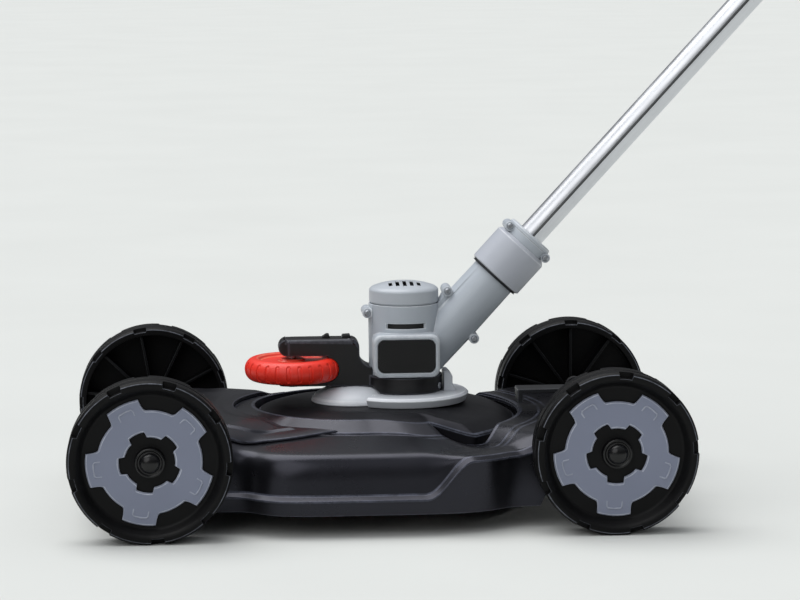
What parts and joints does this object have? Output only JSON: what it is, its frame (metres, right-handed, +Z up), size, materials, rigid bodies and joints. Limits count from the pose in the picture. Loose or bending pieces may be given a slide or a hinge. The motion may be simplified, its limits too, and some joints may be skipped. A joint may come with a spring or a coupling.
{
  "type": "wheeled string trimmer",
  "caption": "Electric string trimmer with a geared motor head, guide wheel and sloping tube, docked in a four-wheeled mower deck it lifts out of.",
  "frame": {"origin": "on the ground under the middle of the wheelbase, on the machine's mid-plane", "axes": "+X to the rear, where the user walks; +Y to the machine's right; +Z up"},
  "size_m": [1.109, 0.414, 0.9416],
  "materials": {
    "deck_black": "injection-moulded, fine grain",
    "cover_black": "injection-moulded, fine grain",
    "trim_black": "moulded",
    "steel": "drawn and ground",
    "screw_steel": "zinc-plated",
    "pedal_grey": "moulded, ribbed",
    "wheel_black": "moulded tread",
    "hubcap_grey": "satin moulding",
    "gear_case_grey": "satin moulding",
    "body_black": "moulded",
    "housing_grey": "satin moulding",
    "cap_grey": "satin moulding",
    "badge_black": "smooth",
    "guard_black": "moulded",
    "lamination": "stacked sheet",
    "copper": "enamelled wire",
    "brass": "pressed",
    "carbon": "pressed carbon",
    "collar_grey": "satin moulding",
    "fan_black": "moulded",
    "gear_steel": "hobbed",
    "gear_nylon": "moulded nylon",
    "cap_red": "moulded",
    "line_nylon": "drawn nylon",
    "guide_red": "satin moulding",
    "tube_aluminium": "anodised",
    "handle_black": "moulded, fine grain",
    "switch_red": "moulded"
  },
  "bodies": {
    "deck": {"deck_shell": "deck_black", "front_cover": "cover_black", "front_axle": "steel", "rear_axle": "steel", "front_axle_beam": "trim_black", "rear_axle_beam": "trim_black", "axle_caps": "trim_black", "deck_screws": "screw_steel", "pedal_bracket": "trim_black", "pedal_pin": "steel", "pedal_spring": "steel"},
    "pedal": {"release_pedal": "pedal_grey"},
    "front_left_wheel": {"wheel_front_left": "wheel_black", "hubcap_front_left": "hubcap_grey"},
    "front_right_wheel": {"wheel_front_right": "wheel_black", "hubcap_front_right": "hubcap_grey"},
    "rear_left_wheel": {"wheel_rear_left": "wheel_black", "hubcap_rear_left": "hubcap_grey"},
    "rear_right_wheel": {"wheel_rear_right": "wheel_black", "hubcap_rear_right": "hubcap_grey"},
    "trimmer": {"gear_case": "gear_case_grey", "lower_body": "body_black", "housing_left": "housing_grey", "housing_right": "housing_grey", "motor_cap": "cap_grey", "badge_plates": "badge_black", "housing_screws": "screw_steel", "guard": "guard_black", "line_cutter": "steel", "motor_stator": "lamination", "field_coils": "copper", "brush_holders": "brass", "carbon_brushes": "carbon", "ball_bearings": "steel", "guide_pin": "steel", "twist_collar": "collar_grey"},
    "armature": {"armature_shaft": "steel", "armature_core": "lamination", "commutator": "copper", "motor_fan": "fan_black", "pinion": "gear_steel"},
    "string_head": {"spindle": "steel", "spindle_gear": "gear_nylon", "spool_housing": "fan_black", "spool": "fan_black", "bump_cap": "cap_red", "spool_spring": "steel", "line_eyelet": "steel", "cutting_line": "line_nylon"},
    "guide_wheel": {"guide_wheel": "guide_red"},
    "shaft": {"tube": "tube_aluminium", "tube_clamp": "housing_grey", "clamp_screws": "screw_steel", "aux_clamp": "trim_black"},
    "aux_handle": {"aux_handle": "handle_black"},
    "handle": {"handle_left": "handle_black", "handle_right": "handle_black", "handle_screws": "screw_steel"},
    "trigger": {"trigger": "switch_red"},
    "lock_button": {"lock_button": "switch_red"}
  },
  "joints": [
    {"name": "front_left_wheel_roll", "type": "hinge", "parent": "deck", "child": "front_left_wheel", "pos_m": [-0.226, -0.183, 0.08], "axis": [0, 1, 0], "continuous": true},
    {"name": "front_right_wheel_roll", "type": "hinge", "parent": "deck", "child": "front_right_wheel", "pos_m": [-0.226, 0.183, 0.08], "axis": [0, 1, 0], "continuous": true},
    {"name": "rear_left_wheel_roll", "type": "hinge", "parent": "deck", "child": "rear_left_wheel", "pos_m": [0.226, -0.183, 0.08], "axis": [0, 1, 0], "continuous": true},
    {"name": "rear_right_wheel_roll", "type": "hinge", "parent": "deck", "child": "rear_right_wheel", "pos_m": [0.226, 0.183, 0.08], "axis": [0, 1, 0], "continuous": true},
    {"name": "pedal_press", "type": "hinge", "parent": "deck", "child": "pedal", "pos_m": [0.212, 0, 0.11201], "axis": [0, 1, 0], "range_deg": [0, 10], "stiffness_Nm_per_rad": 2, "springref_deg": -5.73, "deforming": ["pedal_spring"]},
    {"name": "trimmer_lift", "type": "slide", "parent": "deck", "child": "trimmer", "axis": [0, 0, 1], "range_m": [0, 0.3], "deforming": ["cutting_line"]},
    {"name": "armature_spin", "type": "hinge", "parent": "trimmer", "child": "armature", "pos_m": [0.033, 0, 0.1663], "axis": [0, 0, 1], "continuous": true},
    {"name": "string_head_spin", "type": "hinge", "parent": "trimmer", "child": "string_head", "pos_m": [-0.0195, 0, 0.06], "axis": [0, 0, 1], "continuous": true},
    {"name": "guide_wheel_spin", "type": "hinge", "parent": "trimmer", "child": "guide_wheel", "pos_m": [-0.0815, 0, 0.139], "axis": [0, 0, 1], "continuous": true},
    {"name": "shaft_twist", "type": "hinge", "parent": "trimmer", "child": "shaft", "pos_m": [0.14161, 0, 0.24779], "axis": [0.6788, 0, 0.7343], "range_deg": [0, 180]},
    {"name": "aux_handle_tilt", "type": "hinge", "parent": "shaft", "child": "aux_handle", "pos_m": [0.45182, 0, 0.62831], "axis": [0, 1, 0], "range_deg": [-45, 45]},
    {"name": "handle_slide", "type": "slide", "parent": "shaft", "child": "handle", "axis": [0.6788, 0, 0.7343], "range_m": [-0.06, 0]},
    {"name": "trigger_pull", "type": "slide", "parent": "handle", "child": "trigger", "axis": [-0.7343, 0, 0.6788], "range_m": [0, 0.007], "stiffness_N_per_m": 400, "springref_m": -0.003},
    {"name": "lock_press", "type": "slide", "parent": "handle", "child": "lock_button", "axis": [0.7343, 0, -0.6788], "range_m": [0, 0.004], "stiffness_N_per_m": 500, "springref_m": -0.002}
  ],
  "couplings": [
    {"joint": "string_head_spin", "follows": "armature_spin", "ratio": -0.52174}
  ]
}
